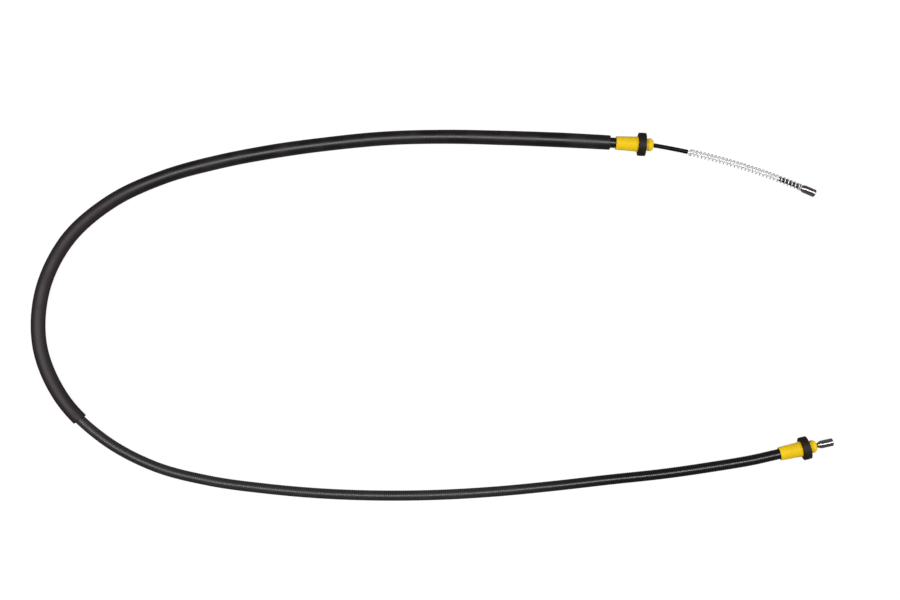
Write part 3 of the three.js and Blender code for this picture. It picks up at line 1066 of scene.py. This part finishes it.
def yellow_nylon():
    """Satin moulded nylon with faint flow marks, pale worn edges and a few dark specks."""
    made, tree, surface = shader(
        "yellow_nylon", Specular_IOR_Level=0.15, Subsurface_Weight=0.06, Subsurface_Scale=0.0012
    )
    texture = use(tree, GRAIN, Scale=1100.0, Distance=0.00003, Strength=0.35)
    flow = use(tree, DUST, Scale=110.0, Low=0.3, High=0.8)
    wear = use(tree, WEAR, Start=0.53, End=0.6)
    fresh, flowed, worn, speck = (
        (0.86, 0.585, 0.006),
        (0.78, 0.49, 0.005),
        (0.95, 0.7, 0.06),
        (0.5, 0.3, 0.02),
    )
    colour = blend_colour(tree, flow.outputs["Film"], fresh, flowed)
    colour = blend_colour(tree, wear.outputs["Mask"], colour, worn)
    colour = blend_colour(tree, flow.outputs["Specks"], colour, speck)
    roughness = blend_value(tree, texture.outputs["Value"], 0.4, 0.62)
    join(
        tree,
        (colour, surface.inputs["Base Color"]),
        (roughness, surface.inputs["Roughness"]),
        (texture.outputs["Normal"], surface.inputs["Normal"]),
    )
    return made


def dress(material, *pieces):
    """Gives the pieces one material in place of what they had."""
    for piece in pieces:
        piece.data.materials.clear()
        piece.data.materials.append(material)


# The pieces
jacket, hose, liner = make_jacket(), make_hose(), make_liner()
ropes, spring, sleeve = make_rope_tails(), make_spring(), make_sleeve()
upper_seat = tail.point(upper_nipple_start)
upper_lie = tail.tangent(TAIL_LENGTH - NIPPLE_LENGTH / 2)
lower_seat = cable_at(lower_nipple_start)[0]
nipples = [
    make_nipple("upper_nipple_steel", upper_seat, upper_lie, "upper_tail", "upper_nipple"),
    make_nipple("lower_nipple_steel", lower_seat, lower_axis, "lower_tail", "lower_nipple"),
]
fittings = [
    make_fitting("upper_moulding", upper_face, upper_axis, "upper_end_fitting"),
    make_fitting("lower_moulding", lower_face, lower_axis, "lower_end_fitting"),
]
UPPER_RING_TILT, LOWER_RING_TILT = math.radians(0.5), math.radians(2.4)
rings = [
    make_ring("upper_rubber_ring", upper_face, upper_axis, "upper_seal_ring", UPPER_RING_TILT),
    make_ring("lower_rubber_ring", lower_face, lower_axis, "lower_seal_ring", LOWER_RING_TILT),
]

# Finishes
BARE_JACKET_BLACK = (0.0035, 0.003, 0.0032)
BARE_JACKET_ROUGH = 0.2

hose_rubber = black_plastic(
    "hose_rubber",
    base=(0.0075, 0.0055, 0.006),
    dusty=(0.02, 0.017, 0.018),
    rough=0.36,
    rub=0.5,
    grain=(1000.0, 0.00003, 0.45),
    ends=[(hose_start + 0.34, hose_start + 0.47, (0.0145, 0.0078, 0.0098), 0.58)],
)
jacket_plastic = black_plastic(
    "jacket_plastic",
    base=(0.033, 0.028, 0.0305),
    dusty=(0.046, 0.04, 0.043),
    rough=0.3,
    rub=0.4,
    grain=(1300.0, 0.00002, 0.3),
    # painted shade: the valleys between the ribs keep 0.3 of the base colour
    valley_shade=0.3,
    ends=[
        (conduit_end - 0.27, conduit_end - 0.12, BARE_JACKET_BLACK, BARE_JACKET_ROUGH),
        (hose_start + 0.3, hose_start + 0.1, BARE_JACKET_BLACK, BARE_JACKET_ROUGH),
    ],
)
liner_plastic = black_plastic(
    "liner_plastic",
    base=(0.0025, 0.0022, 0.0025),
    dusty=(0.006, 0.0055, 0.0055),
    rough=0.3,
    rub=0.4,
    grain=(1500.0, 0.00001, 0.15),
    gloss=0.12,
)
sleeve_plastic = black_plastic(
    "sleeve_plastic",
    base=(0.004, 0.0035, 0.004),
    dusty=(0.012, 0.011, 0.011),
    rough=0.4,
    rub=0.5,
    grain=(1500.0, 0.00002, 0.4),
)
ring_rubber = black_plastic(
    "ring_rubber",
    base=(0.013, 0.0072, 0.0048),
    dusty=(0.021, 0.0135, 0.0105),
    rough=0.6,
    rub=0.74,
    grain=(1500.0, 0.00005, 0.6),
    gloss=0.28,
)
yellow_moulding = yellow_nylon()
rope_steel = steel(
    "rope_steel",
    base=(0.93, 0.93, 0.94),
    dark=(0.7, 0.7, 0.7),
    rough=0.36,
    tarnish=0.3,
    metal=0.5,
)
spring_steel = steel(
    "spring_steel",
    base=(0.95, 0.95, 0.96),
    dark=(0.7, 0.7, 0.7),
    rough=0.34,
    tarnish=0.1,
    metal=0.72,
)
nipple_steel = steel(
    "nipple_steel",
    base=(0.36, 0.335, 0.325),
    dark=(0.24, 0.22, 0.21),
    rough=0.1,
    tarnish=0.7,
    metal=0.9,
)
dress(hose_rubber, hose)
dress(jacket_plastic, jacket)
dress(liner_plastic, liner)
dress(sleeve_plastic, sleeve)
dress(ring_rubber, *rings)
dress(yellow_moulding, *fittings)
dress(rope_steel, *ropes)
dress(spring_steel, spring)
dress(nipple_steel, *nipples)

# The solids that stay as they are, inside the conduit and the fittings.
hidden_steel = steel("armour_steel", (0.5, 0.5, 0.5), (0.25, 0.24, 0.23), 0.3)
zinc = steel("ferrule_steel", (0.55, 0.55, 0.55), (0.35, 0.35, 0.34), 0.35)
inner_rope = steel("inner_rope_steel", (0.62, 0.63, 0.64), (0.3, 0.3, 0.3), 0.28)
for node, material in (
    ("conduit_armour", hidden_steel),
    ("rope_middle", inner_rope),
    ("upper_crimp_ferrule", zinc),
    ("lower_crimp_ferrule", zinc),
):
    dress(material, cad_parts[node])


# Floor, light and surroundings
FLOOR_REACH = 6
FLOOR_DROP = 0.1 * MM
FLOOR_GLOW = 1.06
FLOOR_GLOW_SHARE = 0.86
FLOOR_WHITE = (0.8, 0.8, 0.8)
FLOOR_IN_GLOSS = (0.16, 0.155, 0.16)
ROOM_DIM, ROOM_TO_CAMERA = 0.07, 1.0


def make_floor():
    """A floor that is white to the camera, dark in glossy reflections, and takes the shadow."""
    mesh = bpy.data.meshes.new("floor")
    near, far = -FLOOR_REACH, FLOOR_REACH
    corners = [(near, near, 0), (far, near, 0), (far, far, 0), (near, far, 0)]
    mesh.from_pydata(corners, [], [(0, 1, 2, 3)])
    floor = bpy.data.objects.new("floor", mesh)
    floor.location.z = -FLOOR_DROP
    bpy.context.scene.collection.objects.link(floor)
    made, tree, surface = shader("floor_white", Roughness=0.9, Specular_IOR_Level=0.0)
    glow = add(tree, "ShaderNodeEmission", Color=(1, 1, 1, 1), Strength=FLOOR_GLOW)
    path = add(tree, "ShaderNodeLightPath")
    tone = blend_colour(tree, path.outputs["Is Glossy Ray"], FLOOR_WHITE, FLOOR_IN_GLOSS)
    join(tree, (tone, surface.inputs["Base Color"]))
    share = add(tree, "ShaderNodeMath", operation="MULTIPLY")
    share.inputs[1].default_value = FLOOR_GLOW_SHARE
    mix = tree.nodes.new("ShaderNodeMixShader")
    join(
        tree,
        (path.outputs["Is Camera Ray"], share.inputs[0]),
        (share.outputs[0], mix.inputs[0]),
        (surface.outputs[0], mix.inputs[1]),
        (glow.outputs[0], mix.inputs[2]),
        (mix.outputs[0], tree.nodes["Material Output"].inputs["Surface"]),
    )
    mesh.materials.append(made)


def make_light(name, place, aim, size, power):
    """A rectangular lamp of the given sides and power, turned to the point it aims at."""
    light = bpy.data.lights.new(name, "AREA")
    light.shape = "RECTANGLE"
    light.size, light.size_y = size
    light.energy = power
    holder = bpy.data.objects.new(name, light)
    holder.location = place
    holder.rotation_euler = (Vector(aim) - Vector(place)).to_track_quat("-Z", "Y").to_euler()
    bpy.context.scene.collection.objects.link(holder)


def make_surroundings():
    """A dim room round the object, which is white where the camera sees it directly."""
    world = bpy.data.worlds.new("surroundings")
    bpy.context.scene.world = world
    world.use_nodes = True
    tree = world.node_tree
    room = tree.nodes["Background"]
    room.inputs["Color"].default_value = (1, 1, 1, 1)
    path = add(tree, "ShaderNodeLightPath")
    seen = blend_value(tree, path.outputs["Is Camera Ray"], ROOM_DIM, ROOM_TO_CAMERA)
    join(tree, (seen, room.inputs["Strength"]))


make_floor()
make_surroundings()
make_light("overhead", place=(0.0, 0.02, 1.5), aim=(0.0, 0.0, 0.0), size=(2.6, 0.16), power=33)
make_light("from_right", place=(1.4, 0.0, 0.2), aim=(-0.3, 0.0, 0.0), size=(1.2, 0.35), power=3)
bpy.context.scene.view_settings.view_transform = "Standard"
